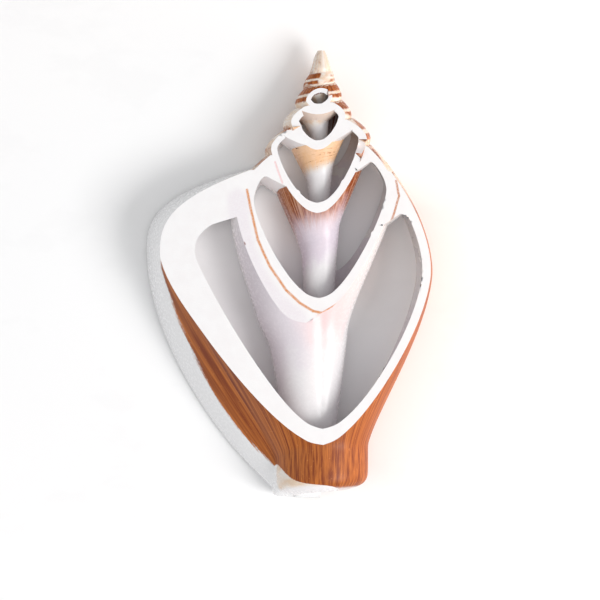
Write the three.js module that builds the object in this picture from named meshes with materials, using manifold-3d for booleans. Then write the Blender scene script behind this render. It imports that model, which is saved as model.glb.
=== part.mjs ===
// A dog conch shell, cut through the middle on two planes and lying on its back cut face.
// Millimetres. X runs to the right, Y towards the apex and Z up out of the table.
// The shell is a tube wound round an axis, so every wall comes from sections of that tube at half turns.

import * as THREE from 'three';
import * as BufferGeometryUtils from 'three/addons/utils/BufferGeometryUtils.js';
import Module from 'manifold-3d';

const wasm = await Module();
wasm.setup();

// Sections of the tube at each half turn: 0 is the right side of the first hollow whorl, 1 its left side.
// Each point is [distance from the axis, depth below the apex].
// curve is the fullness of the shoulder, how the taper leaves the widest point and meets the waist, and
// how long the tip keeps the radius of the waist.
const SECTIONS = [
  {
    at: -3, suture: [1.3, 2.4], widest: [1.55, 3.2], waist: [0.55, 6.0],
    tip: [0.4, 7.1], curve: [1.8, 1.5, 1.3, 1],
  },
  {
    at: -2, suture: [1.6, 2.9], widest: [1.95, 4.2], waist: [0.7, 7.1],
    tip: [0.5, 8.5], curve: [1.8, 1.5, 1.3, 1],
  },
  {
    at: -1, suture: [1.75, 3.5], widest: [2.55, 5.2], waist: [0.9, 8.5],
    tip: [0.6, 10.5], curve: [1.8, 1.5, 1.3, 1],
  },
  {
    at: 0, suture: [2.0, 4.5], widest: [2.95, 6.4], waist: [1.1, 9.9],
    tip: [0.8, 13.4], curve: [1.8, 1.5, 1.3, 1],
  },
  {
    at: 1, suture: [2.5, 5.5], widest: [3.7, 7.6], waist: [1.5, 11.9],
    tip: [1.1, 16.2], curve: [1.8, 1.5, 1.3, 1],
  },
  {
    at: 2, suture: [2.9, 6.9], widest: [4.35, 9.1], waist: [1.7, 16.4],
    tip: [1.1, 21.8], curve: [1.8, 1.5, 1.4, 1],
  },
  {
    at: 3, suture: [3.9, 8.4], widest: [5.45, 10.5], waist: [1.95, 18.6],
    tip: [1.5, 24.6], curve: [1.8, 1.5, 1.3, 1],
  },
  {
    at: 4, suture: [4.5, 9.5], widest: [7.05, 12.3], waist: [2.65, 24.5],
    tip: [1.8, 35.1], curve: [1.8, 1.5, 1.3, 1],
  },
  {
    at: 5, suture: [5.3, 11.2], widest: [8.0, 14.3], waist: [2.8, 28.4],
    tip: [2.2, 39.3], curve: [1.8, 1.5, 1.3, 1],
  },
  {
    at: 6, suture: [7.0, 13.2], widest: [10.8, 19.5], waist: [3.8, 39.3],
    tip: [2.2, 53.3], curve: [1.8, 1.45, 1.4, 1],
  },
  {
    at: 7, suture: [8.05, 15.0], widest: [11.5, 21.8], waist: [4.2, 42.1],
    tip: [3.4, 57.5], curve: [1.9, 1.45, 1.35, 2],
  },
  {
    at: 8, suture: [9.4, 15.7], widest: [15.75, 31.2], waist: [6.7, 55.6],
    tip: [4.2, 61.6], curve: [1.8, 1.6, 1.3, 10],
  },
  {
    at: 8.5, suture: [9.3, 16.0], widest: [18.75, 30.7], waist: [6.5, 55.6],
    tip: [4.2, 62.0], curve: [2.2, 1.45, 1.25, 10],
  },
  {
    at: 8.9, suture: [9.2, 16.4], widest: [22.7, 29.3], waist: [6.5, 57.3],
    tip: [4.0, 62.5], curve: [2.7, 1.25, 1.12, 10],
  },
  {
    at: 9, suture: [9.1, 16.5], widest: [24.2, 28.7], waist: [6.8, 60.0],
    tip: [4.0, 62.8], curve: [2.9, 1.65, 1.05, 10],
  },
  {
    at: 9.12, suture: [9.1, 16.2], widest: [26.6, 27.9], waist: [7.2, 61.8],
    tip: [4.0, 63.0], curve: [3, 2.1, 1, 10],
  },
  {
    at: 9.3, suture: [9.1, 16.1], widest: [27.3, 27.9], waist: [7.2, 61.8],
    tip: [4.0, 63.0], curve: [3, 2.2, 1, 10],
  },
];

// The hollow inside the tube: its highest point, and the wall at the widest point and at the waist.
const HOLLOWS = [
  { at: -1, top: [1.4, 5.5], wall: [0.35, 0.35] },
  { at: 0, top: [1.8, 5.5], wall: [0.3, 0.4] },
  { at: 1, top: [2.7, 6.2], wall: [0.35, 0.4] },
  { at: 2, top: [3.5, 8.0], wall: [0.7, 0.25] },
  { at: 3, top: [4.2, 8.8], wall: [0.85, 0.35] },
  { at: 4, top: [5.3, 10.9], wall: [1.0, 0.5] },
  { at: 5, top: [6.3, 12.5], wall: [0.75, 0.6] },
  { at: 6, top: [7.7, 15.3], wall: [0.9, 0.85] },
  { at: 7, top: [8.7, 18.3], wall: [1.1, 0.85] },
  { at: 8, top: [11.8, 23.0], wall: [1.1, 0.7] },
  { at: 8.9, top: [12.3, 23.4], wall: [4.5, 1.1] },
  { at: 9.3, top: [13.2, 23.4], wall: [5.3, 1.4] },
];

// The callus is the glaze laid over the last whorl but one, thickest beside the aperture.
const CALLUS_GROWTH = [[6.5, 0], [6.95, 1], [7.2, 1], [7.6, 0]];
const CALLUS_THICKNESS = [[0, 0], [0.5, 0.8], [1, 1.5], [1.8, 3.6], [2.2, 2.5], [3, 0.8]];

const FIRST_TURN = -3;
const LIP_TURN = 9.25;
const FIRST_HOLLOW_TURN = -0.7;
const HOLLOW_END_TURN = 9.3;
const TURNS_PER_PIECE = 0.875;
const STEPS_PER_PIECE = 8;
const OVERLAP = 0.03;
const SHRINK_RADIUS = 0.96;
const SHRINK_DEPTH = 0.98;

const OUTER_STOPS = [
  0, 0.15, 0.35, 0.6, 0.8, 1, 1.12, 1.25, 1.38, 1.5, 1.63, 1.75, 1.88, 2, 2.5, 2.8, 2.93, 3,
];
const AXIS_CLEARANCE = 0.13;
const HOLLOW_START = 0.35;
const HOLLOW_END = 2.4;
const HOLLOW_STEPS = 10;
const HOLLOW_ROOF_SLOPE = 0.7;
const HOLLOW_ROOF_DROP = [[0.35, 0.05], [0.95, 0.55]];
const WALL_EASE = 1.5;
const WALL_STEP = 0.01;

// The solid middle of the columella and the small first whorls, as [radius, depth below the apex].
const CORE = [
  [0, 0], [0.5, 0.05], [0.85, 0.7], [1.15, 1.6], [1.5, 2.9], [1.2, 4.2], [0.45, 6], [0.45, 57], [0, 57],
];
const CORE_SIDES = 20;
const SAME_POINT = 1e-4;

// The front cut leans towards the base; the back cut is square to the table.
const FRONT_CUT_AT_APEX = 2.17;
const FRONT_CUT_SLOPE = 0.08;
const BACK_CUT = -3.78;
const CUT_BLOCK = 120;
const SHORTEST_EDGE = 0.06;
const THINNEST_FACE = 0.004;
const SMALLEST_TURN_COSINE = 0.2;
const CLEANING_PASSES = 4;

const SHELL_COLOUR = 0xf6f1ec;
const SHELL_ROUGHNESS = 0.35;

function pchipSlopes(at, values) {
  const gaps = at.slice(1).map((x, i) => x - at[i]);
  const rises = gaps.map((gap, i) => (values[i + 1] - values[i]) / gap);
  return at.map((x, i) => {
    if (i === 0) return rises[0];
    if (i === at.length - 1) return rises[rises.length - 1];
    if (rises[i - 1] * rises[i] <= 0) return 0;
    const before = 2 * gaps[i] + gaps[i - 1];
    const after = gaps[i] + 2 * gaps[i - 1];
    return (before + after) / (before / rises[i - 1] + after / rises[i]);
  });
}

// A curve through the values that never overshoots them.
function smooth(at, values) {
  const slopes = pchipSlopes(at, values);
  return (x) => {
    let i = 0;
    while (i < at.length - 2 && x > at[i + 1]) i += 1;
    const gap = at[i + 1] - at[i];
    const t = Math.min(Math.max((x - at[i]) / gap, 0), 1);
    const back = 1 - t;
    const start = (1 + 2 * t) * back * back * values[i] + t * back * back * gap * slopes[i];
    return start + t * t * (3 - 2 * t) * values[i + 1] - t * t * back * gap * slopes[i + 1];
  };
}

function straight(points) {
  return (x) => {
    if (x <= points[0][0]) return points[0][1];
    for (let i = 1; i < points.length; i += 1) {
      const [x0, y0] = points[i - 1];
      const [x1, y1] = points[i];
      if (x <= x1) return y0 + ((y1 - y0) * (x - x0)) / (x1 - x0);
    }
    return points[points.length - 1][1];
  };
}

function smoothFields(rows, names) {
  const at = rows.map((row) => row.at);
  const curves = {};
  for (const name of names) {
    curves[name] = rows[0][name].map((_, k) => smooth(at, rows.map((row) => row[name][k])));
  }
  return (name, turn) => curves[name].map((curve) => curve(turn));
}

const section = smoothFields(SECTIONS, ['suture', 'widest', 'waist', 'tip', 'curve']);
const hollow = smoothFields(HOLLOWS, ['top', 'wall']);
const callusGrowth = straight(CALLUS_GROWTH);
const callusThickness = straight(CALLUS_THICKNESS);
const roofDrop = straight(HOLLOW_ROOF_DROP);

// A point on the outer wall: u is 0 at the suture, 1 at the widest point, 2 at the waist and 3 at the tip.
function wallPoint(turn, u) {
  const [sutureR, sutureD] = section('suture', turn);
  const [widestR, widestD] = section('widest', turn);
  const [waistR, waistD] = section('waist', turn);
  const [tipR, tipD] = section('tip', turn);
  const [shoulder, leave, meet, keep] = section('curve', turn);
  if (u <= 1) {
    const out = 1 - (1 - u) ** shoulder;
    return [sutureR + (widestR - sutureR) * out, sutureD + (widestD - sutureD) * u];
  }
  if (u <= 2) {
    const out = (1 - (u - 1) ** leave) ** meet;
    return [waistR + (widestR - waistR) * out, widestD + (waistD - widestD) * (u - 1)];
  }
  return [waistR + (tipR - waistR) * (u - 2) ** keep, waistD + (tipD - waistD) * (u - 2)];
}

function outerRing(turn) {
  const ring = [];
  for (const u of OUTER_STOPS) {
    const [r, d] = wallPoint(turn, u);
    ring.push([r + callusGrowth(turn) * callusThickness(u), d]);
  }
  return closeOnAxis(ring, ring[0][1]);
}

// Every wall point gets a partner on the axis, so that the section is a ladder and its caps are simple.
function closeOnAxis(wall, roofDepth) {
  const floorDepth = wall[wall.length - 1][1];
  const partners = wall.map((_, i) => {
    const along = i / (wall.length - 1);
    return [AXIS_CLEARANCE, roofDepth + (floorDepth - roofDepth) * along];
  });
  return [...wall, ...partners.reverse()];
}

function innerPoint(turn, u) {
  const [r0, d0] = wallPoint(turn, u - WALL_STEP);
  const [r1, d1] = wallPoint(turn, u + WALL_STEP);
  const [r, d] = wallPoint(turn, u);
  const length = Math.hypot(r1 - r0, d1 - d0);
  const [side, bottom] = hollow('wall', turn);
  const wall = side + (bottom - side) * Math.min(Math.max(u - 1, 0), 1) ** WALL_EASE;
  return [r - ((d1 - d0) / length) * wall, d + ((r1 - r0) / length) * wall];
}

function hollowRing(turn) {
  const [topR, topD] = hollow('top', turn);
  const ring = [[topR, topD]];
  for (let i = 0; i <= HOLLOW_STEPS; i += 1) {
    const u = HOLLOW_START + ((HOLLOW_END - HOLLOW_START) * i) / HOLLOW_STEPS;
    const [r, d] = innerPoint(turn, u);
    const narrowing = 1 - Math.max(u - 2, 0);
    ring.push([Math.max(r * narrowing, AXIS_CLEARANCE * 2), Math.max(d, topD + roofDrop(u))]);
  }
  return closeOnAxis(ring, topD + topR * HOLLOW_ROOF_SLOPE);
}

function placeOnAxis([r, depth], turn) {
  const angle = turn * Math.PI;
  return [r * Math.cos(angle), -depth, r * Math.sin(angle)];
}

// A closed solid through rings of the tube. It starts with a smaller ring just inside the stretch before it,
// so that two stretches meet along one ring and not on two caps.
function sweep(ringAt, firstTurn, lastTurn) {
  const rings = [{ turn: firstTurn - OVERLAP, points: shrink(ringAt(firstTurn - OVERLAP)) }];
  for (let step = 0; step <= STEPS_PER_PIECE; step += 1) {
    const turn = firstTurn + ((lastTurn - firstTurn) * step) / STEPS_PER_PIECE;
    rings.push({ turn, points: ringAt(turn) });
  }
  const positions = rings.flatMap(({ turn, points }) => points.flatMap((point) => placeOnAxis(point, turn)));
  const indices = [];
  const size = rings[0].points.length;
  const last = (rings.length - 1) * size;
  for (let start = 0; start < last; start += size) {
    for (let i = 0; i < size; i += 1) {
      const a = start + i;
      const b = start + ((i + 1) % size);
      indices.push(a, a + size, b, b, a + size, b + size);
    }
  }
  for (let i = 0; i < size / 2 - 1; i += 1) {
    const partner = size - 1 - i;
    indices.push(i, i + 1, partner, i + 1, partner - 1, partner);
    indices.push(last + i, last + partner, last + i + 1, last + i + 1, last + partner, last + partner - 1);
  }
  return toSolid(positions, indices);
}

function shrink(ring) {
  const depths = ring.map(([, d]) => d);
  const middle = (Math.min(...depths) + Math.max(...depths)) / 2;
  return ring.map(([r, d]) => [r * SHRINK_RADIUS, middle + (d - middle) * SHRINK_DEPTH]);
}

function toSolid(positions, indices) {
  const mesh = new wasm.Mesh({
    numProp: 3,
    vertProperties: new Float32Array(positions),
    triVerts: new Uint32Array(indices),
  });
  return new wasm.Manifold(mesh);
}

function geometrySolid(geometry) {
  geometry.deleteAttribute('normal');
  geometry.deleteAttribute('uv');
  const merged = BufferGeometryUtils.mergeVertices(geometry, SAME_POINT);
  return toSolid(merged.attributes.position.array, merged.index.array);
}

function makeCore() {
  const outline = CORE.map(([r, d]) => new THREE.Vector2(r, -d)).reverse();
  return geometrySolid(new THREE.LatheGeometry(outline, CORE_SIDES));
}

// The whole tube is joined first. Then each stretch of hollow is taken out, kept clear of the older whorls
// that it winds round. A stretch is under half a turn, so it never meets the one just before it.
function windShell() {
  const count = Math.ceil((LIP_TURN - FIRST_TURN) / TURNS_PER_PIECE);
  let filled = makeCore();
  let older = filled;
  let newest = null;
  let hollows = null;
  for (let piece = 0; piece < count; piece += 1) {
    const turn = FIRST_TURN + piece * TURNS_PER_PIECE;
    const end = turn + TURNS_PER_PIECE;
    const whole = sweep(outerRing, turn, Math.min(end, LIP_TURN));
    if (turn >= FIRST_HOLLOW_TURN) {
      const room = sweep(hollowRing, turn, end < LIP_TURN ? end : HOLLOW_END_TURN).subtract(older);
      hollows = hollows ? hollows.add(room) : room;
    }
    if (newest) older = older.add(newest);
    newest = whole;
    filled = filled.add(whole);
  }
  return filled.subtract(hollows);
}

function halfSpace(height, lean, above) {
  const block = new THREE.BoxGeometry(CUT_BLOCK * 2, CUT_BLOCK * 2, CUT_BLOCK);
  block.translate(0, 0, above ? CUT_BLOCK / 2 : -CUT_BLOCK / 2);
  block.rotateX(-Math.atan(lean));
  block.translate(0, 0, height);
  return geometrySolid(block);
}

function cutShell() {
  return windShell()
    .subtract(halfSpace(FRONT_CUT_AT_APEX, FRONT_CUT_SLOPE, true))
    .subtract(halfSpace(BACK_CUT, 0, false));
}

// Where surfaces cross, cuts leave edges too short to matter. Each one is closed up onto one of its ends,
// unless that would pinch the surface, flatten a face or turn one over.
function closeShortEdges(positions, faces) {
  const facesAt = new Map();
  faces.forEach((face, id) => face.forEach((corner) => {
    if (!facesAt.has(corner)) facesAt.set(corner, new Set());
    facesAt.get(corner).add(id);
  }));
  const point = (corner) => new THREE.Vector3().fromArray(positions, corner * 3);
  const neighbours = (corner) => {
    const found = new Set([...facesAt.get(corner)].flatMap((id) => faces[id]));
    found.delete(corner);
    return found;
  };
  const staysSound = (keep, drop) => [...facesAt.get(drop)].every((id) => {
    if (faces[id].includes(keep)) return true;
    const before = facing(faces[id].map(point));
    const after = facing(faces[id].map((corner) => point(corner === drop ? keep : corner)));
    const upright = after.height > THINNEST_FACE || after.height > before.height;
    return upright && after.normal.dot(before.normal) > SMALLEST_TURN_COSINE;
  });
  const close = (keep, drop) => {
    for (const id of facesAt.get(drop)) {
      if (faces[id].includes(keep)) {
        faces[id].forEach((corner) => corner !== drop && facesAt.get(corner).delete(id));
        faces[id] = null;
      } else {
        faces[id][faces[id].indexOf(drop)] = keep;
        facesAt.get(keep).add(id);
      }
    }
    facesAt.delete(drop);
  };
  for (let id = 0; id < faces.length; id += 1) {
    for (let k = 0; faces[id] && k < 3; k += 1) {
      const ends = [faces[id][k], faces[id][(k + 1) % 3]];
      if (point(ends[0]).distanceTo(point(ends[1])) > SHORTEST_EDGE) continue;
      const near = neighbours(ends[0]);
      const shared = [...neighbours(ends[1])].filter((corner) => near.has(corner));
      if (shared.length !== 2) continue;
      if (staysSound(ends[0], ends[1])) close(ends[0], ends[1]);
      else if (staysSound(ends[1], ends[0])) close(ends[1], ends[0]);
    }
  }
  return faces.filter(Boolean);
}

// Which way a triangle faces, and its smallest height.
function facing([a, b, c]) {
  const normal = b.clone().sub(a).cross(c.clone().sub(a));
  const longest = Math.max(a.distanceTo(b), b.distanceTo(c), c.distanceTo(a));
  return { height: normal.length() / longest, normal: normal.normalize() };
}

// A face with almost no height swaps its longest edge for one that leaves two better faces.
function turnThinFaces(positions, faces) {
  const owners = new Map();
  const key = (a, b) => a + '-' + b;
  const edgesOf = (id) => faces[id].map((a, k) => key(a, faces[id][(k + 1) % 3]));
  const lowest = (...all) => Math.min(...all.map((face) => facing(face.map(point)).height));
  const point = (corner) => new THREE.Vector3().fromArray(positions, corner * 3);
  faces.forEach((_, id) => edgesOf(id).forEach((edge) => owners.set(edge, id)));
  faces.forEach((face, id) => {
    if (lowest(face) > THINNEST_FACE) return;
    const lengths = face.map((a, k) => point(a).distanceTo(point(face[(k + 1) % 3])));
    const start = lengths.indexOf(Math.max(...lengths));
    const [a, b, c] = [0, 1, 2].map((k) => face[(start + k) % 3]);
    const other = owners.get(key(b, a));
    const d = faces[other].find((corner) => corner !== a && corner !== b);
    if (owners.has(key(c, d)) || owners.has(key(d, c))) return;
    if (lowest([a, d, c], [d, b, c]) <= lowest(face, faces[other])) return;
    [id, other].forEach((each) => edgesOf(each).forEach((edge) => owners.delete(edge)));
    faces[id] = [a, d, c];
    faces[other] = [d, b, c];
    [id, other].forEach((each) => edgesOf(each).forEach((edge) => owners.set(edge, each)));
  });
  return faces;
}

function makeShell() {
  const { vertProperties, triVerts } = cutShell().getMesh();
  const geometry = new THREE.BufferGeometry();
  geometry.setAttribute('position', new THREE.BufferAttribute(vertProperties, 3));
  let faces = [];
  for (let i = 0; i < triVerts.length; i += 3) faces.push([...triVerts.slice(i, i + 3)]);
  for (let pass = 0; pass < CLEANING_PASSES; pass += 1) {
    faces = turnThinFaces(vertProperties, closeShortEdges(vertProperties, faces));
  }
  geometry.setIndex(faces.flat());
  geometry.computeBoundingBox();
  const { min, max } = geometry.boundingBox;
  geometry.translate(-(min.x + max.x) / 2, -(min.y + max.y) / 2, -min.z);
  const material = new THREE.MeshStandardMaterial({
    color: SHELL_COLOUR,
    roughness: SHELL_ROUGHNESS,
    metalness: 0,
  });
  const mesh = new THREE.Mesh(geometry, material);
  mesh.name = 'shell';
  return mesh;
}

const conch = new THREE.Group();
conch.add(makeShell());

export default conch;
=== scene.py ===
import math

import bmesh
import bpy
import numpy as np
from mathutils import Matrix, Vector


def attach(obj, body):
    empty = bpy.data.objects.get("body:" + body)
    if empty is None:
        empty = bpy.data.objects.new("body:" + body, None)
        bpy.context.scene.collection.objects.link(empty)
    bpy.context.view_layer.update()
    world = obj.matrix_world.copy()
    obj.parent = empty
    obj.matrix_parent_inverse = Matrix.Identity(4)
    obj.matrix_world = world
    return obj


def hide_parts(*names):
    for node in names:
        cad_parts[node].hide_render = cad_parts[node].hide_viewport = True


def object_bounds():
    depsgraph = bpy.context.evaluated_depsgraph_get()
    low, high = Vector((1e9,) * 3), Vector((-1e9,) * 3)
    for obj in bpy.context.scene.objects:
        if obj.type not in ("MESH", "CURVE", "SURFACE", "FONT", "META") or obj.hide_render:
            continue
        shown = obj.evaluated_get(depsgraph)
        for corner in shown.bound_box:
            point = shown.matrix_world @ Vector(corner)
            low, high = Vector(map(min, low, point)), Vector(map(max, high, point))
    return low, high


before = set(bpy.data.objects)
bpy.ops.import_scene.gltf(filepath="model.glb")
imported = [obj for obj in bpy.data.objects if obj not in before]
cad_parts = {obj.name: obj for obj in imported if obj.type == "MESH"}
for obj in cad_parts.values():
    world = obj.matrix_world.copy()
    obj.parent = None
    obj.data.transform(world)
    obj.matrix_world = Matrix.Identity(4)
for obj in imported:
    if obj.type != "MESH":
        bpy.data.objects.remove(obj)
CAD_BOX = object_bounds()

bl_info = {
    "name": "Cut Dog Conch",
    "version": (1, 0, 0),
    "blender": (4, 5, 0),
    "location": "3D View > Sidebar > Conch",
    "description": "Winds a dog conch shell, saws it into a slice and lays it on a pale table",
    "category": "Object",
}

MM = 0.001
NODE = "shell"

# Sections of the tube at each half turn, in mm: 0 is the right side of the first hollow whorl, 1 its left.
# at, suture (radius, depth), widest, waist, tip, curve (shoulder, leave, meet, keep)
SECTIONS = np.array([
    (-3, 1.3, 2.4, 1.55, 3.2, 0.55, 6.0, 0.4, 7.1, 1.8, 1.5, 1.3, 1),
    (-2, 1.6, 2.9, 1.95, 4.2, 0.7, 7.1, 0.5, 8.5, 1.8, 1.5, 1.3, 1),
    (-1, 1.75, 3.5, 2.55, 5.2, 0.9, 8.5, 0.6, 10.5, 1.8, 1.5, 1.3, 1),
    (0, 2.0, 4.5, 2.95, 6.4, 1.1, 9.9, 0.8, 13.4, 1.8, 1.5, 1.3, 1),
    (1, 2.5, 5.5, 3.7, 7.6, 1.5, 11.9, 1.1, 16.2, 1.8, 1.5, 1.3, 1),
    (2, 2.9, 6.9, 4.35, 9.1, 1.7, 16.4, 1.1, 21.8, 1.8, 1.5, 1.4, 1),
    (3, 3.9, 8.4, 5.45, 10.5, 1.95, 18.6, 1.5, 24.6, 1.8, 1.5, 1.3, 1),
    (4, 4.5, 9.5, 7.05, 12.3, 2.65, 24.5, 1.8, 35.1, 1.8, 1.5, 1.3, 1),
    (5, 5.3, 11.2, 8.0, 14.3, 2.8, 28.4, 2.2, 39.3, 1.8, 1.5, 1.3, 1),
    (6, 7.0, 13.2, 10.8, 19.5, 3.8, 39.3, 2.2, 53.3, 1.8, 1.45, 1.4, 1),
    (7, 8.05, 15.0, 11.5, 21.8, 4.2, 42.1, 3.4, 57.5, 1.9, 1.45, 1.35, 2),
    (8, 9.4, 15.7, 15.75, 31.2, 6.7, 55.6, 4.2, 61.6, 1.8, 1.6, 1.3, 10),
    (8.5, 9.3, 16.0, 18.75, 30.7, 6.5, 55.6, 4.2, 62.0, 2.2, 1.45, 1.25, 10),
    (8.9, 9.2, 16.4, 22.7, 29.3, 6.5, 57.3, 4.0, 62.5, 2.7, 1.25, 1.12, 10),
    (9, 9.1, 16.5, 24.2, 28.7, 6.8, 60.0, 4.0, 62.8, 2.9, 1.65, 1.05, 10),
    (9.12, 9.1, 16.2, 26.6, 27.9, 7.2, 61.8, 4.0, 63.0, 3, 2.1, 1, 10),
    (9.3, 9.1, 16.1, 27.3, 27.9, 7.2, 61.8, 4.0, 63.0, 3, 2.2, 1, 10),
])
# The hollow: at, top (radius, depth), wall at the widest point and at the waist.
HOLLOWS = np.array([
    (-1, 1.4, 5.5, 0.35, 0.35),
    (0, 1.8, 5.5, 0.3, 0.4),
    (1, 2.7, 6.2, 0.35, 0.4),
    (2, 3.5, 8.0, 0.7, 0.25),
    (3, 4.2, 8.8, 0.85, 0.35),
    (4, 5.3, 10.9, 1.0, 0.5),
    (5, 6.3, 12.5, 0.75, 0.6),
    (6, 7.7, 15.3, 0.9, 0.85),
    (7, 8.7, 18.3, 1.1, 0.85),
    (8, 11.8, 23.0, 1.1, 0.7),
    (8.9, 12.3, 23.4, 4.5, 1.1),
    (9.3, 13.2, 23.4, 5.3, 1.4),
])
CALLUS_GROWTH = ((6.5, 6.95, 7.2, 7.6), (0, 1, 1, 0))
CALLUS_THICKNESS = ((0, 0.5, 1, 1.8, 2.2, 3), (0, 0.8, 1.5, 3.6, 2.5, 0.8))

FIRST_TURN = -3
LIP_TURN = 9.25
AXIS_CLEARANCE = 0.13
HOLLOW_FROM = 0.35
HOLLOW_TO = 2.4
ROOF_SLOPE = 0.7
ROOF_DROP = ((0.35, 0.95), (0.05, 0.55))
WALL_EASE = 1.5
WALL_STEP = 0.01
FRONT_CUT_AT_APEX = 2.17
FRONT_CUT_SLOPE = 0.08
BACK_CUT = -3.78

APEX_HEIGHT = 31.5
LYING_HEIGHT = 3.78
CURVE_SAMPLES = 72
ROOF_SAMPLES = 8
TURN_MARGIN = 0.06
FAR_OFF = 1e6
CUT_MARGIN = 0.012
WINDINGS = range(-2, 5)
FRONT_LABEL, BACK_LABEL = 1, 2
SETTLE_ROUNDS = 5
FARTHEST_MOVE = 0.9
SAME_POINT = 0.001
BOX_FILL = 0.9995
SHARP_ANGLE = math.radians(38)

OUTSIDE, INSIDE, SAWN = 0, 1, 2


def pchip_slopes(at, values):
    """Slopes at each point for a curve that never overshoots."""
    gaps = np.diff(at)
    rises = np.diff(values) / gaps
    slopes = np.empty_like(at)
    slopes[0], slopes[-1] = rises[0], rises[-1]
    for i in range(1, len(at) - 1):
        if rises[i - 1] * rises[i] <= 0:
            slopes[i] = 0
            continue
        before = 2 * gaps[i] + gaps[i - 1]
        after = gaps[i] + 2 * gaps[i - 1]
        slopes[i] = (before + after) / (before / rises[i - 1] + after / rises[i])
    return slopes


def smooth(at, values, x):
    """The curve through the values at x."""
    slopes = pchip_slopes(at, values)
    i = np.clip(np.searchsorted(at, x) - 1, 0, len(at) - 2)
    gap = at[i + 1] - at[i]
    t = np.clip((x - at[i]) / gap, 0, 1)
    back = 1 - t
    start = (1 + 2 * t) * back**2 * values[i] + t * back**2 * gap * slopes[i]
    return start + t**2 * (3 - 2 * t) * values[i + 1] - t**2 * back * gap * slopes[i + 1]


def columns(table, turn):
    """Every column of a table at the given turns."""
    at = table[:, 0]
    return [smooth(at, table[:, k], turn) for k in range(1, table.shape[1])]


def wall_point(turn, u):
    """The outer wall: u is 0 at the suture, 1 at the widest point, 2 at the waist and 3 at the tip."""
    s_r, s_d, w_r, w_d, n_r, n_d, t_r, t_d, shoulder, leave, meet, keep = columns(SECTIONS, turn)
    upper = 1 - np.clip(1 - u, 0, 1) ** shoulder
    middle = (1 - np.clip(u - 1, 0, 1) ** leave) ** meet
    lower = np.clip(u - 2, 0, 1) ** keep
    r = np.where(u <= 1, s_r + (w_r - s_r) * upper, np.where(u <= 2, n_r + (w_r - n_r) * middle, n_r + (t_r - n_r) * lower))
    d = np.where(u <= 1, s_d + (w_d - s_d) * u, np.where(u <= 2, w_d + (n_d - w_d) * (u - 1), n_d + (t_d - n_d) * (u - 2)))
    return r, d


def winding_curve(turn, kind):
    """Radius, depth and u along the section of the outer wall or of the hollow at each turn."""
    turn = turn[:, None]
    if kind == OUTSIDE:
        u = np.linspace(0, 3, CURVE_SAMPLES)[None, :]
        r, d = wall_point(turn, u)
        r = r + np.interp(turn, *CALLUS_GROWTH) * np.interp(u, *CALLUS_THICKNESS)
        return r, d, np.broadcast_to(u, r.shape)
    u = np.linspace(HOLLOW_FROM, HOLLOW_TO, CURVE_SAMPLES)[None, :]
    top_r, top_d, side, bottom = columns(HOLLOWS, turn)
    r0, d0 = wall_point(turn, u - WALL_STEP)
    r1, d1 = wall_point(turn, u + WALL_STEP)
    r, d = wall_point(turn, u)
    length = np.hypot(r1 - r0, d1 - d0)
    wall = side + (bottom - side) * np.clip(u - 1, 0, 1) ** WALL_EASE
    r, d = r - (d1 - d0) / length * wall, d + (r1 - r0) / length * wall
    r = np.maximum(r * (1 - np.clip(u - 2, 0, None)), AXIS_CLEARANCE * 2)
    d = np.maximum(d, top_d + np.interp(u, *ROOF_DROP))
    roof = np.linspace(0, 1, ROOF_SAMPLES)[None, :]
    roof_r = AXIS_CLEARANCE + (top_r - AXIS_CLEARANCE) * roof
    roof_d = top_d + top_r * ROOF_SLOPE * (1 - roof)
    u = np.broadcast_to(u, r.shape)
    roof_u = np.broadcast_to(roof * HOLLOW_FROM, roof_r.shape)
    return np.hstack([roof_r, r]), np.hstack([roof_d, d]), np.hstack([roof_u, u])


def turn_in(points, winding):
    """The turn of each point in one winding. Windings change over behind the columella."""
    turn = np.arctan2(points[:, 2], points[:, 0]) / math.pi
    return np.where(turn < -0.5, turn + 2, turn) + 2 * winding


def on_nearest_wall(points, kind, winding):
    """The same for a winding and the two beside it, whichever is nearest."""
    found = [on_wall(points, kind, each) for each in (winding, winding - 1, winding + 1)]
    best = np.argmin([f[3] for f in found], axis=0)
    rows = np.arange(len(points))
    return tuple(np.array([f[k] for f in found])[best, rows] for k in range(4))


def on_wall(points, kind, winding):
    """The nearest place on one winding's wall: the point there, its turn, its u and how far off it is."""
    turn = turn_in(points, winding)
    r, d, u = winding_curve(turn, kind)
    here_r, here_d = np.hypot(points[:, 0], points[:, 2])[:, None], -points[:, 1][:, None]
    step_r, step_d = np.diff(r), np.diff(d)
    along = (here_r - r[:, :-1]) * step_r + (here_d - d[:, :-1]) * step_d
    along = np.clip(along / np.maximum(step_r**2 + step_d**2, 1e-9), 0, 1)
    near_r, near_d = r[:, :-1] + along * step_r, d[:, :-1] + along * step_d
    off = np.hypot(near_r - here_r, near_d - here_d)
    best = off.argmin(axis=1)[:, None]
    pick = lambda table: np.take_along_axis(table, best, axis=1)[:, 0]
    near_u = u[:, :-1] + along * np.diff(u)
    angle = turn * math.pi
    place = np.stack([pick(near_r) * np.cos(angle), -pick(near_d), pick(near_r) * np.sin(angle)], axis=1)
    off = pick(off) + np.where((turn < FIRST_TURN) | (turn > LIP_TURN + TURN_MARGIN), FAR_OFF, 0)
    return place, turn, pick(near_u), off


def on_cut(points):
    """True where a point lies in the front cut plane, and where it lies in the back one."""
    front = np.abs(points[:, 2] - FRONT_CUT_AT_APEX + FRONT_CUT_SLOPE * points[:, 1]) < CUT_MARGIN
    back = points[:, 2] < BACK_CUT + CUT_MARGIN
    return front, back


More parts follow.
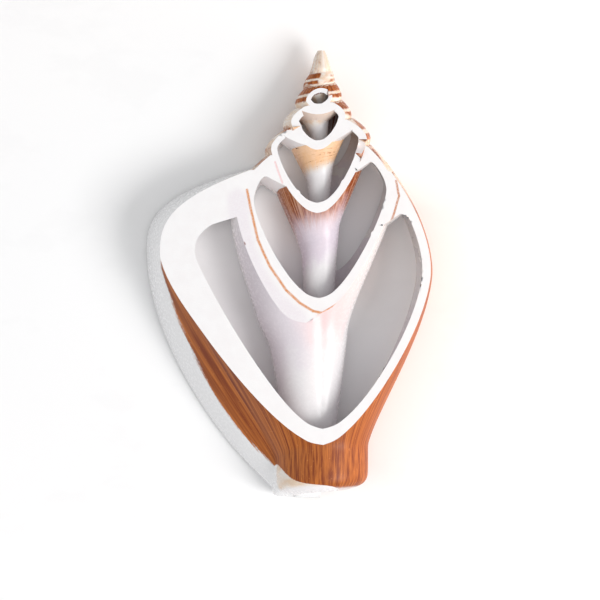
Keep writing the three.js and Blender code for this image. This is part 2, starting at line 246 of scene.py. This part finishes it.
def label_faces(points, triangles):
    """Which surface each triangle belongs to: a cut plane, or the outer or inner wall of one winding."""
    front, back = on_cut(points)
    labels = np.zeros(len(triangles), int)
    nearest = np.full(len(triangles), FAR_OFF)
    corners = points[triangles.ravel()]
    turn = turn_in(corners, 0).reshape(-1, 3)
    astride = np.ptp(turn, axis=1) > 1
    for kind in (OUTSIDE, INSIDE):
        off = np.array([on_wall(corners, kind, winding)[3].reshape(-1, 3) for winding in WINDINGS])
        for k, winding in enumerate(WINDINGS):
            mine = off[k].sum(axis=1)
            if k + 1 < len(off):
                mine = np.where(astride, np.minimum(off[k], off[k + 1]).sum(axis=1), mine)
            labels = np.where(mine < nearest, label(kind, winding), labels)
            nearest = np.minimum(nearest, mine)
    labels[front[triangles].all(axis=1)] = FRONT_LABEL
    labels[back[triangles].all(axis=1)] = BACK_LABEL
    return labels


def label(kind, winding):
    """One number for a kind of wall and its winding."""
    return 10 * (kind + 1) + winding - WINDINGS[0]


def kind_and_winding(name):
    """The kind of wall and the winding behind a label."""
    return name // 10 - 1, name % 10 + WINDINGS[0]


def settle(points, members):
    """Moves points onto the surfaces they belong to, one surface after another until they meet."""
    start = points.copy()
    for _ in range(SETTLE_ROUNDS):
        for name, which in members.items():
            if name == FRONT_LABEL:
                points[which, 2] = FRONT_CUT_AT_APEX - FRONT_CUT_SLOPE * points[which, 1]
            elif name == BACK_LABEL:
                points[which, 2] = BACK_CUT
            else:
                points[which] = on_nearest_wall(points[which], *kind_and_winding(name))[0]
    move = points - start
    size = np.linalg.norm(move, axis=1)[:, None]
    return start + move * np.where(size > FARTHEST_MOVE, 0, 1)


def refined_shell(edge_length, passes):
    """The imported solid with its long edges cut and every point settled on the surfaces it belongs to."""
    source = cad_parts[NODE].data
    bm = bmesh.new()
    bm.from_mesh(source)
    bmesh.ops.remove_doubles(bm, verts=bm.verts, dist=SAME_POINT * MM)
    bmesh.ops.triangulate(bm, faces=bm.faces)
    origin = shell_origin()
    points = np.array([v.co for v in bm.verts]) / MM - origin
    bm.verts.index_update()
    triangles = np.array([[v.index for v in f.verts] for f in bm.faces])
    surface = bm.faces.layers.int.new("surface")
    for face, name in zip(bm.faces, label_faces(points, triangles)):
        face[surface] = int(name)
    for _ in range(passes):
        long_edges = [e for e in bm.edges if e.calc_length() > edge_length * MM]
        bmesh.ops.subdivide_edges(bm, edges=long_edges, cuts=1)
        bmesh.ops.triangulate(bm, faces=bm.faces)
    bm.verts.index_update()
    points = np.array([v.co for v in bm.verts]) / MM - origin
    members = {}
    for face in bm.faces:
        members.setdefault(face[surface], set()).update(v.index for v in face.verts)
    members = {name: np.array(sorted(found)) for name, found in sorted(members.items(), reverse=True)}
    points = settle(points, members)
    return bm, surface, fit_in_box(points + origin)


def shell_origin():
    """The apex on the shell's own axis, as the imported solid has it, in mm."""
    corners = np.array([v.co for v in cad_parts[NODE].data.vertices]) / MM
    return np.array([corners[corners[:, 1].argmax(), 0], APEX_HEIGHT, LYING_HEIGHT])


def fit_in_box(points):
    """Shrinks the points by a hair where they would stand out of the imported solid's box, and gives metres."""
    low, high = (np.array(corner) / MM for corner in CAD_BOX)
    middle, half = (low + high) / 2, (high - low) / 2
    reach = np.abs(points - middle).max(axis=0)
    return (middle + (points - middle) * np.minimum(half * BOX_FILL / reach, 1)) * MM


def shell_mesh(edge_length, passes):
    """The fine mesh, with the turn and u of every corner kept for its colours."""
    bm, surface, points = refined_shell(edge_length, passes)
    for vert, place in zip(bm.verts, points):
        vert.co = place
    kinds = []
    for face in bm.faces:
        name = face[surface]
        kinds.append(SAWN if name in (FRONT_LABEL, BACK_LABEL) else kind_and_winding(name)[0])
        face.material_index = kinds[-1]
        face.smooth = True
    for edge in bm.edges:
        faces = edge.link_faces
        turned = len(faces) == 2 and edge.calc_face_angle(0) > SHARP_ANGLE
        edge.smooth = not (turned or len({f.material_index for f in faces}) > 1)
    mesh = bpy.data.meshes.new("conch")
    bm.to_mesh(mesh)
    names = np.array([face[surface] for face in bm.faces])
    bm.free()
    store_growth(mesh, names)
    return mesh


def store_growth(mesh, names):
    """Writes turn and u to every corner of the walls."""
    verts = np.empty(len(mesh.loops), np.int32)
    mesh.loops.foreach_get("vertex_index", verts)
    places = np.empty(len(mesh.vertices) * 3)
    mesh.vertices.foreach_get("co", places)
    places = places.reshape(-1, 3) / MM - shell_origin()
    corner_names = np.repeat(names, 3)
    growth = np.zeros((len(verts), 2), np.float32)
    for name in np.unique(names[names > BACK_LABEL]):
        which = np.nonzero(corner_names == name)[0]
        _, turn, u, _ = on_nearest_wall(places[verts[which]], *kind_and_winding(int(name)))
        growth[which] = np.stack([turn, u], axis=1)
    mesh.attributes.new("growth", "FLOAT2", "CORNER").data.foreach_set("vector", growth.ravel())


class Value:
    """A shader socket that can be written in expressions."""

    def __init__(self, graph, socket):
        self.graph, self.socket = graph, socket

    def __add__(self, other):
        return self.graph.math("ADD", self, other)

    def __sub__(self, other):
        return self.graph.math("SUBTRACT", self, other)

    def __mul__(self, other):
        return self.graph.math("MULTIPLY", self, other)

    def __truediv__(self, other):
        return self.graph.math("DIVIDE", self, other)

    def __pow__(self, other):
        return self.graph.math("POWER", self, other)

    def __radd__(self, other):
        return self.graph.math("ADD", other, self)

    def __rsub__(self, other):
        return self.graph.math("SUBTRACT", other, self)

    def __rmul__(self, other):
        return self.graph.math("MULTIPLY", other, self)

    def __rtruediv__(self, other):
        return self.graph.math("DIVIDE", other, self)


class Graph:
    """The nodes of one material."""

    def __init__(self, name):
        self.material = bpy.data.materials.new(name)
        self.material.use_nodes = True
        self.tree = self.material.node_tree
        self.shader = self.tree.nodes["Principled BSDF"]

    def node(self, kind, settings=None, **values):
        """Adds a node: its settings first, then the values or links of its sockets by name or place."""
        made = self.tree.nodes.new(kind)
        for name, value in (settings or {}).items():
            setattr(made, name, value)
        for name, value in values.items():
            socket = made.inputs[int(name[1:])] if name[0] == "_" else made.inputs[name.replace("_", " ")]
            self.feed(socket, value)
        return made

    def feed(self, socket, value):
        """Links a value to a socket, or sets it there."""
        if isinstance(value, Value):
            self.tree.links.new(value.socket, socket)
        else:
            socket.default_value = value

    def out(self, made, name=0):
        return Value(self, made.outputs[name])

    def math(self, operation, *values, clamp=False):
        sockets = {f"_{k}": value for k, value in enumerate(values)}
        return self.out(self.node("ShaderNodeMath", {"operation": operation, "use_clamp": clamp}, **sockets))

    def vector(self, operation, *values, out=0):
        sockets = {f"_{k}": value for k, value in enumerate(values)}
        return self.out(self.node("ShaderNodeVectorMath", {"operation": operation}, **sockets), out)

    def mix(self, factor, low, high):
        """A colour between two."""
        made = self.node("ShaderNodeMix", {"data_type": "RGBA"}, _0=factor, _6=low, _7=high)
        return self.out(made, 2)

    def step(self, value, low, high):
        """0 below low, 1 above high and smooth between."""
        made = self.node("ShaderNodeMapRange", {"interpolation_type": "SMOOTHSTEP"}, _0=value, _1=low, _2=high)
        return self.out(made)

    def between(self, value, low, high, soft):
        """1 between low and high with soft ends."""
        return self.step(value, low - soft, low + soft) * (1 - self.step(value, high - soft, high + soft))

    def noise(self, place, scale, detail=3.0, roughness=0.55):
        made = self.node("ShaderNodeTexNoise", None, Vector=place, Scale=scale, Detail=detail, Roughness=roughness)
        return self.out(made)

    def curve(self, value, points):
        """A smooth curve through points from 0 to 1."""
        made = self.node("ShaderNodeFloatCurve", None, Value=value)
        line = made.mapping.curves[0]
        while len(line.points) < len(points):
            line.points.new(0.5, 0.5)
        for spot, place in zip(line.points, points):
            spot.location = place
        made.mapping.update()
        return self.out(made)

    def growth(self):
        """Turn, u and the place on the shell in mm."""
        attribute = self.node("ShaderNodeAttribute", {"attribute_name": "growth", "attribute_type": "GEOMETRY"})
        parts = self.node("ShaderNodeSeparateXYZ", None, Vector=self.out(attribute, "Vector"))
        return self.out(parts, 0), self.out(parts, 1), self.place()

    def place(self):
        coordinates = self.node("ShaderNodeTexCoord")
        return self.scaled(self.out(coordinates, "Object"), 1 / MM)

    def scaled(self, vector, factor):
        made = self.node("ShaderNodeVectorMath", {"operation": "SCALE"}, _0=vector, Scale=factor)
        return self.out(made)

    def combine(self, x, y, z):
        return self.out(self.node("ShaderNodeCombineXYZ", None, X=x, Y=y, Z=z))

    def bump(self, height, distance, strength):
        made = self.node("ShaderNodeBump", None, Height=height, Distance=distance, Strength=strength)
        return self.out(made)

    def surface(self, colour, roughness, normal, **constants):
        self.feed(self.shader.inputs["Base Color"], colour)
        self.feed(self.shader.inputs["Roughness"], roughness)
        self.feed(self.shader.inputs["Normal"], normal)
        for name, value in constants.items():
            self.shader.inputs[name.replace("_", " ")].default_value = value
        return self.material


def shade(colour):
    """A colour as a shader takes it."""
    return (*colour, 1.0)


def outside_material(settings):
    """The grown outer surface: brown bands over cream, a white callus and a pale lip margin."""
    g = Graph("shell_outside")
    turn, u, place = g.growth()
    along = g.combine(turn * 6.0, u * 3.0, 0.0)
    streaks = g.noise(g.combine(turn * 60.0, u * 1.6, 1.7), 1.0, 4.0, 0.6)
    lines = g.noise(g.combine(turn * 150.0, u * 2.0, 5.1), 1.0, 2.0, 0.6)
    patches = g.noise(along, 1.0, 3.0, 0.55)
    fleck = g.noise(place, 2.2, 4.0, 0.65)
    spiral = g.noise(g.combine(turn * 2.0, u * 46.0, 2.4), 1.0, 2.0, 0.5)

    light_brown, dark_brown = shade(settings.light_brown), shade(settings.dark_brown)
    brown = g.mix(g.step(streaks + (lines - 0.5) * 0.5, 0.28, 0.72), light_brown, dark_brown)
    brown = g.mix(g.step(fleck, 0.6, 0.74) * 0.45, brown, shade(settings.orange))
    cream = g.mix(g.step(patches, 0.35, 0.65), shade(settings.cream), shade(settings.warm_white))

    # the body whorl is brown as far as the lip margin
    margin = g.curve(u / 3, MARGIN_TURN) + MARGIN_FROM
    wobble = (lines - 0.5) * 0.02 + (fleck - 0.5) * 0.012
    body = g.step(turn, 7.55, 7.75) * (1 - g.step(turn + wobble, margin - 0.004, margin + 0.006))
    body = body * g.step(u + (patches - 0.5) * 0.3, 0.2, 0.5)
    tip = g.step(u + (streaks - 0.5) * 0.06, 2.9, 2.97)
    body = body * (1 - tip * 0.75)

    # the spire has dark dashes below each suture, and each columella is brown only where it leaves its whorl
    spire = 1 - g.step(turn, 5.9, 6.4)
    dashes = g.step(g.noise(g.combine(turn * 3.1, u * 0.5, 8.3), 1.0, 1.0), 0.4, 0.5)
    band = g.between(u + (fleck - 0.5) * 0.2, 0.05, 0.5, 0.08) + g.between(u + (fleck - 0.5) * 0.2, 0.72, 1.0, 0.06)
    top = g.math("MINIMUM", dashes * band * 1.3, 1.0) * (1 - g.step(turn, 6.3, 7.6) * 0.4)
    top = top * (1 - g.step(turn, 8.4, 8.8))
    neck = g.between(u + (streaks - 0.5) * 0.35, 1.1, 1.83, 0.09) * spire
    yellow = neck * g.between(turn, 1.4, 3.4, 0.3)
    orange = neck * g.step(turn, 3.4, 3.9)
    dots = g.step(spiral, 0.56, 0.66) * g.step(fleck, 0.45, 0.6)

    pale = g.math("MAXIMUM", g.step(u, 1.75, 2.0) * (1 - g.step(turn, 7.5, 7.7)), g.step(turn, 8.9, 8.95))
    pale = g.math("MAXIMUM", pale, g.step(turn, 7.6, 7.8) * g.step(u, 2.8, 2.9))
    colour = g.mix(pale, cream, shade(settings.white))
    colour = g.mix(g.step(turn, 8.9, 8.95), colour, shade(settings.chalk))
    colour = g.mix(g.math("MINIMUM", top, 1.0), colour, brown)
    colour = g.mix(yellow * 0.75, colour, shade(settings.yellow))
    colour = g.mix(yellow * dots * 0.8, colour, brown)
    colour = g.mix(orange * (0.7 + 0.3 * g.step(streaks, 0.35, 0.6)), colour, brown)
    colour = g.mix(body, colour, brown)

    # the callus is white with a pink and a lavender blush
    callus = g.between(turn, 6.02, 7.5, 0.1) * g.step(u, 0.5, 0.9)
    pink = g.between(turn, 6.25, 6.62, 0.16) * g.between(u + (patches - 0.5) * 0.4, 1.5, 2.0, 0.14)
    lavender = g.between(turn, 6.6, 7.0, 0.12) * g.between(u + (patches - 0.5) * 0.6, 1.2, 2.2, 0.2)
    glaze = g.mix(lavender * 0.4, shade(settings.white), shade(settings.lavender))
    glaze = g.mix(pink * 0.65, glaze, shade(settings.pink))
    colour = g.mix(callus, colour, glaze)
    early = g.between(u + (patches - 0.5) * 0.4, 1.75, 2.3, 0.15) * g.between(turn, 3.6, 5.6, 0.3)
    colour = g.mix(early * 0.7, colour, shade(settings.lavender))
    # grey specks at the lip rim: partly the rim's grey translucency, partly painted shade of its rounded edge
    # turning down
    rim_specks_and_shade = g.step(turn, 8.985, 9.06) * g.step(fleck, 0.56, 0.7)
    colour = g.mix(rim_specks_and_shade * 0.06, colour, shade(settings.rim_grey_and_shade))

    ridges = (lines * 0.6 + streaks * 0.4) * (0.1 + 0.6 * body)
    normal = g.bump(ridges, settings.ridge_height, 0.55)
    rough = settings.gloss_roughness + 0.22 * body + 0.1 * fleck
    return g.surface(colour, rough, normal, Coat_Weight=0.05, Coat_Roughness=0.2,
                     Specular_IOR_Level=0.3)


def inside_material(settings):
    """The smooth porcelain lining of the hollows."""
    g = Graph("shell_inside")
    turn, u, place = g.growth()
    clouds = g.noise(place, 0.35, 3.0)
    lines = g.noise(g.combine(turn * 60.0, u * 2.0, 3.3), 1.0, 2.0)
    blush = g.between(u + (clouds - 0.5) * 0.8, 1.2, 2.1, 0.3) * g.step(turn, 2.0, 4.0)
    colour = g.mix(g.step(clouds, 0.35, 0.7) * 0.5, shade(settings.white), shade(settings.warm_white))
    colour = g.mix(blush * 0.45, colour, shade(settings.lavender))
    small = g.between(turn, 0.3, 2.1, 0.15) * (1 - g.step(u, 1.3, 1.7))
    colour = g.mix(small * (0.5 + 0.5 * g.step(lines, 0.4, 0.6)), colour, shade(settings.dark_brown))
    middle = g.between(turn, 2.1, 4.1, 0.2) * (1 - g.step(u, 0.9, 1.5))
    colour = g.mix(middle * 0.35, colour, shade(settings.yellow))
    normal = g.bump(lines * 0.7 + clouds * 0.3, settings.ridge_height * 0.5, 0.4)
    return g.surface(colour, settings.gloss_roughness + 0.1 * clouds, normal, Coat_Weight=0.35, Coat_Roughness=0.1)


def segment_distance(g, place, start, end):
    """How far the place is from a straight stretch in the plane, in mm."""
    run = Vector(end) - Vector(start)
    offset = g.vector("SUBTRACT", place, (*start, 0.0))
    along = g.vector("DOT_PRODUCT", offset, (*run, 0.0), out="Value")
    along = g.math("MULTIPLY", along, 1 / run.length_squared, clamp=True)
    foot = g.node("ShaderNodeVectorMath", {"operation": "SCALE"}, _0=(*run, 0.0), Scale=along)
    return g.vector("DISTANCE", offset, g.out(foot), out="Value")


def sawn_material(settings):
    """The sawn face: chalky white layers with saw marks, the thin brown skins of older whorls, pink and lavender
    blushes, and painted shade along the callus slope.
    """
    g = Graph("shell_sawn")
    place = g.place()
    flat = g.vector("MULTIPLY", place, (1.0, 1.0, 0.0))
    grain = g.noise(place, 5.0, 4.0, 0.7)
    clouds = g.noise(place, 0.5, 3.0)
    scratches = g.noise(g.vector("MULTIPLY", place, (1.2, 14.0, 1.0)), 1.0, 3.0)
    flat = g.vector("ADD", flat, g.scaled(g.combine(clouds - 0.5, grain - 0.5, 0.0), 0.12))
    colour = g.mix(g.step(clouds, 0.3, 0.7) * 0.4, shade(settings.chalk), shade(settings.white))
    colour = g.mix(g.step(grain, 0.58, 0.8) * 0.12, colour, shade(settings.warm_white))
    front = g.step(g.out(g.node("ShaderNodeSeparateXYZ", None, Vector=place), 2), 2.0, 3.0)
    for width, strength, tint, line in reversed(SKIN_AND_SHADE_LINES):
        spots = [on_shell(spot) for spot in line]
        nearest = None
        for start, end in zip(spots, spots[1:]):
            off = segment_distance(g, flat, start, end)
            nearest = off if nearest is None else g.math("MINIMUM", nearest, off)
        mask = (1 - g.step(nearest, width * 0.35, width)) * front * strength
        mask = g.math("MINIMUM", mask * (0.55 + 0.45 * g.step(grain, 0.35, 0.6)), 1.0)
        colour = g.mix(mask, colour, shade(getattr(settings, tint)))
    normal = g.bump(scratches * 0.7 + grain * 0.5, 0.03 * MM, 0.5)
    return g.surface(colour, 0.55 + 0.15 * grain, normal)


# Places on the front cut face, in pixels of the 600 pixel view, and how wide a pixel is there.
PIXEL = 0.14
AXIS_PIXEL = 321.5
APEX_PIXEL = 49
MARGIN_FROM = 8.0
MARGIN_TURN = ((0, 0.6), (0.28, 0.75), (0.33, 0.93), (0.4, 0.952), (0.5, 0.972), (0.57, 0.985), (0.62, 0.978),
               (0.78, 0.84), (0.91, 0.68), (0.97, 0.4), (1, 0.3))
SKIN_AND_SHADE_LINES = (
    (0.26, 1.0, "orange", ((247, 190), (251, 210), (258, 240), (269, 265), (286, 290), (300, 303), (313, 311))),
    (0.26, 1.0, "orange", ((313, 311), (322.6, 313), (339, 303), (352, 292))),
    (0.22, 0.9, "light_brown", ((396, 181), (399, 196), (393, 216), (389, 227))),
    (0.2, 0.8, "pink", ((275, 162), (278.7, 173), (282.5, 183))),
    (0.22, 0.5, "cream", ((318, 312), (321, 330))),
    (0.4, 1.5, "dark_brown", ((240.5, 242), (243.5, 244))),
    (0.22, 1.2, "dark_brown", ((237, 228), (238, 228.5))),
    # lavender band beside the callus line: the callus's lavender tint together with painted shade of its sloping
    # surface, laid on the flat cut
    (2.2, 0.35, "lavender", ((238, 200), (240, 225), (247, 255), (260, 282), (278, 305), (296, 318))),
    (2.0, 0.45, "pink", ((325, 322), (343, 312), (360, 294))),
)


def on_shell(pixel):
    """A place on the front cut face, in mm from the shell's middle."""
    x = (pixel[0] - AXIS_PIXEL) * PIXEL + shell_origin()[0]
    return x, APEX_HEIGHT - (pixel[1] - APEX_PIXEL) * PIXEL


def colour_property(name, description, default):
    return bpy.props.FloatVectorProperty(name=name, description=description, default=default, size=3,
                                         subtype="COLOR", min=0, max=1)


class ConchSettings(bpy.types.PropertyGroup):
    """Sizes and colours of the shell."""

    edge_length: bpy.props.FloatProperty(name="Edge length", description="Longest edge of the fine mesh, in mm",
                                         default=0.7, min=0.3, max=3)
    passes: bpy.props.IntProperty(name="Refining passes", description="How often long edges are halved",
                                  default=3, min=1, max=5)
    ridge_height: bpy.props.FloatProperty(name="Ridge height", description="Relief of the growth lines",
                                          default=0.00006, subtype="DISTANCE", unit="LENGTH", precision=6)
    gloss_roughness: bpy.props.FloatProperty(name="Gloss roughness", description="Roughness of the smooth glaze",
                                             default=0.22, min=0, max=1, subtype="FACTOR")
    white: colour_property("White", "Porcelain white of the glaze", (0.82, 0.8, 0.81))
    warm_white: colour_property("Warm white", "White with a little cream", (0.84, 0.78, 0.72))
    chalk: colour_property("Chalk", "The sawn layers", (0.87, 0.87, 0.88))
    cream: colour_property("Cream", "Ground colour of the spire", (0.78, 0.6, 0.45))
    yellow: colour_property("Yellow", "Yellow of the third columella", (0.86, 0.5, 0.25))
    orange: colour_property("Orange", "Orange flecks and skins", (0.66, 0.25, 0.07))
    light_brown: colour_property("Light brown", "Lighter growth streaks", (0.5, 0.15, 0.026))
    dark_brown: colour_property("Dark brown", "Darker growth streaks", (0.19, 0.032, 0.005))
    # lavender: the callus's cool blush; on the sawn face it also carries painted shade along the callus slope
    lavender: colour_property("Lavender", "Cool blush of the callus", (0.68, 0.58, 0.68))
    pink: colour_property("Pink", "Warm blush of the callus", (0.82, 0.52, 0.53))
    # rim grey: the lip rim's translucent grey, also used as painted shade on the rounded rim
    rim_grey_and_shade: colour_property("Rim grey", "Translucent specks at the lip", (0.45, 0.43, 0.36))


class StageSettings(bpy.types.PropertyGroup):
    """The table, the lights and the camera."""

    view_width: bpy.props.FloatProperty(name="View width", description="Width of table the camera sees",
                                        default=0.084, subtype="DISTANCE", unit="LENGTH")
    camera_height: bpy.props.FloatProperty(name="Camera height", description="Camera above the table",
                                           default=0.6, subtype="DISTANCE", unit="LENGTH")
    key_power: bpy.props.FloatProperty(name="Key light", description="Power of the key light", default=3.9,
                                       subtype="POWER", unit="POWER")
    fill_power: bpy.props.FloatProperty(name="Fill light", description="Power of the overhead fill", default=1.0,
                                        subtype="POWER", unit="POWER")
    glow_power: bpy.props.FloatProperty(name="Warm glow", description="Power of the low warm light", default=0.05,
                                        subtype="POWER", unit="POWER")
    sky_strength: bpy.props.FloatProperty(name="Sky", description="Strength of the even white light", default=0.5)
    table_colour: colour_property("Table", "Colour of the table", (0.93, 0.93, 0.935))


class CONCH_OT_shell(bpy.types.Operator):
    """Makes the sawn shell with its three finishes"""

    bl_idname = "conch.shell"
    bl_label = "Make Shell"

    def execute(self, context):
        settings = context.scene.conch
        mesh = shell_mesh(settings.edge_length, settings.passes)
        if len(mesh.polygons) > FACE_LIMIT:
            raise RuntimeError("the shell's mesh has too many faces")
        for make in (outside_material, inside_material, sawn_material):
            mesh.materials.append(make(settings))
        shell = bpy.data.objects.new("conch_shell", mesh)
        context.scene.collection.objects.link(shell)
        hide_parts(NODE)
        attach(shell, "root")
        return {"FINISHED"}


class CONCH_OT_stage(bpy.types.Operator):
    """Sets the pale table, the soft lights and the camera"""

    bl_idname = "conch.stage"
    bl_label = "Set Stage"

    def execute(self, context):
        settings = context.scene.conch_stage
        make_table(settings)
        make_lights(settings)
        make_camera(settings)
        return {"FINISHED"}


def make_table(settings):
    """A plain pale table under the shell."""
    mesh = bpy.data.meshes.new("table")
    half = TABLE_SIZE / 2
    corners = [(-half, -half, 0), (half, -half, 0), (half, half, 0), (-half, half, 0)]
    mesh.from_pydata(corners, [], [(0, 1, 2, 3)])
    g = Graph("white_table")
    marks = g.noise(g.vector("MULTIPLY", g.place(), (0.05, 0.09, 0.05)), 1.0, 5.0, 0.6)
    paler = shade([c * 0.97 for c in settings.table_colour])
    colour = g.mix(g.step(marks, 0.52, 0.6) * 0.5, shade(settings.table_colour), paler)
    mesh.materials.append(g.surface(colour, 0.5 + 0.1 * marks, g.bump(marks, 0.02 * MM, 0.2)))
    table = bpy.data.objects.new("table", mesh)
    table.location.z = -TABLE_GAP
    bpy.context.scene.collection.objects.link(table)


def area_light(name, power, size, place, target, colour):
    """A soft square light aimed at a place."""
    light = bpy.data.lights.new(name, "AREA")
    light.energy, light.size, light.color = power, size, colour
    lamp = bpy.data.objects.new(name, light)
    lamp.location = place
    lamp.rotation_euler = (Vector(target) - Vector(place)).to_track_quat("-Z", "Y").to_euler()
    bpy.context.scene.collection.objects.link(lamp)


def make_lights(settings):
    """A key from the lower right, fills from above and the left, a faint warm glow and an even white sky."""
    area_light("key", settings.key_power, 0.35, (0.5, -0.25, 0.5), (0, 0, 0), (1.0, 0.99, 0.98))
    area_light("fill", settings.fill_power, 0.8, (0.1, -0.1, 0.9), (0, 0, 0), (0.98, 0.99, 1.0))
    area_light("left_fill", settings.fill_power * 0.5, 0.5, (-0.5, 0.0, 0.35), (0, 0, 0), (0.98, 0.99, 1.0))
    area_light("warm_glow", settings.glow_power, 0.05, (0.09, -0.005, 0.012), (0.02, 0, 0), (1.0, 0.6, 0.4))
    world = bpy.data.worlds.new("studio")
    world.use_nodes = True
    background = world.node_tree.nodes["Background"]
    background.inputs["Color"].default_value = (1.0, 1.0, 1.0, 1.0)
    background.inputs["Strength"].default_value = settings.sky_strength
    bpy.context.scene.world = world
    bpy.context.scene.view_settings.view_transform = "Standard"


def make_camera(settings):
    """Looks straight down on the front cut face."""
    data = bpy.data.cameras.new("camera")
    data.sensor_width = SENSOR_WIDTH
    distance = settings.camera_height - SHELL_MIDDLE_HEIGHT
    data.lens = SENSOR_WIDTH * distance / settings.view_width
    data.clip_start, data.clip_end = 0.01, 10
    camera = bpy.data.objects.new("camera", data)
    middle = on_shell((VIEW_PIXELS / 2, VIEW_PIXELS / 2))
    camera.location = (middle[0] * MM, middle[1] * MM, settings.camera_height)
    bpy.context.scene.collection.objects.link(camera)
    bpy.context.scene.camera = camera


TABLE_SIZE = 4.0
TABLE_GAP = 0.00002
SENSOR_WIDTH = 36
SHELL_MIDDLE_HEIGHT = 0.007
VIEW_PIXELS = 600
FACE_LIMIT = 195000


class CONCH_PT_panel(bpy.types.Panel):
    """Lists the steps and their settings"""

    bl_idname = "CONCH_PT_panel"
    bl_label = "Cut Dog Conch"
    bl_space_type = "VIEW_3D"
    bl_region_type = "UI"
    bl_category = "Conch"

    def draw(self, context):
        for group, operator in ((context.scene.conch, CONCH_OT_shell), (context.scene.conch_stage, CONCH_OT_stage)):
            box = self.layout.box()
            for name in group.bl_rna.properties.keys():
                if name not in ("rna_type", "name"):
                    box.prop(group, name)
            box.operator(operator.bl_idname)


CLASSES = (ConchSettings, StageSettings, CONCH_OT_shell, CONCH_OT_stage, CONCH_PT_panel)


def register():
    for each in CLASSES:
        bpy.utils.register_class(each)
    bpy.types.Scene.conch = bpy.props.PointerProperty(type=ConchSettings)
    bpy.types.Scene.conch_stage = bpy.props.PointerProperty(type=StageSettings)


def unregister():
    del bpy.types.Scene.conch_stage
    del bpy.types.Scene.conch
    for each in reversed(CLASSES):
        bpy.utils.unregister_class(each)


def main():
    register()
    bpy.ops.conch.shell()
    bpy.ops.conch.stage()


if __name__ == "__main__":
    main()
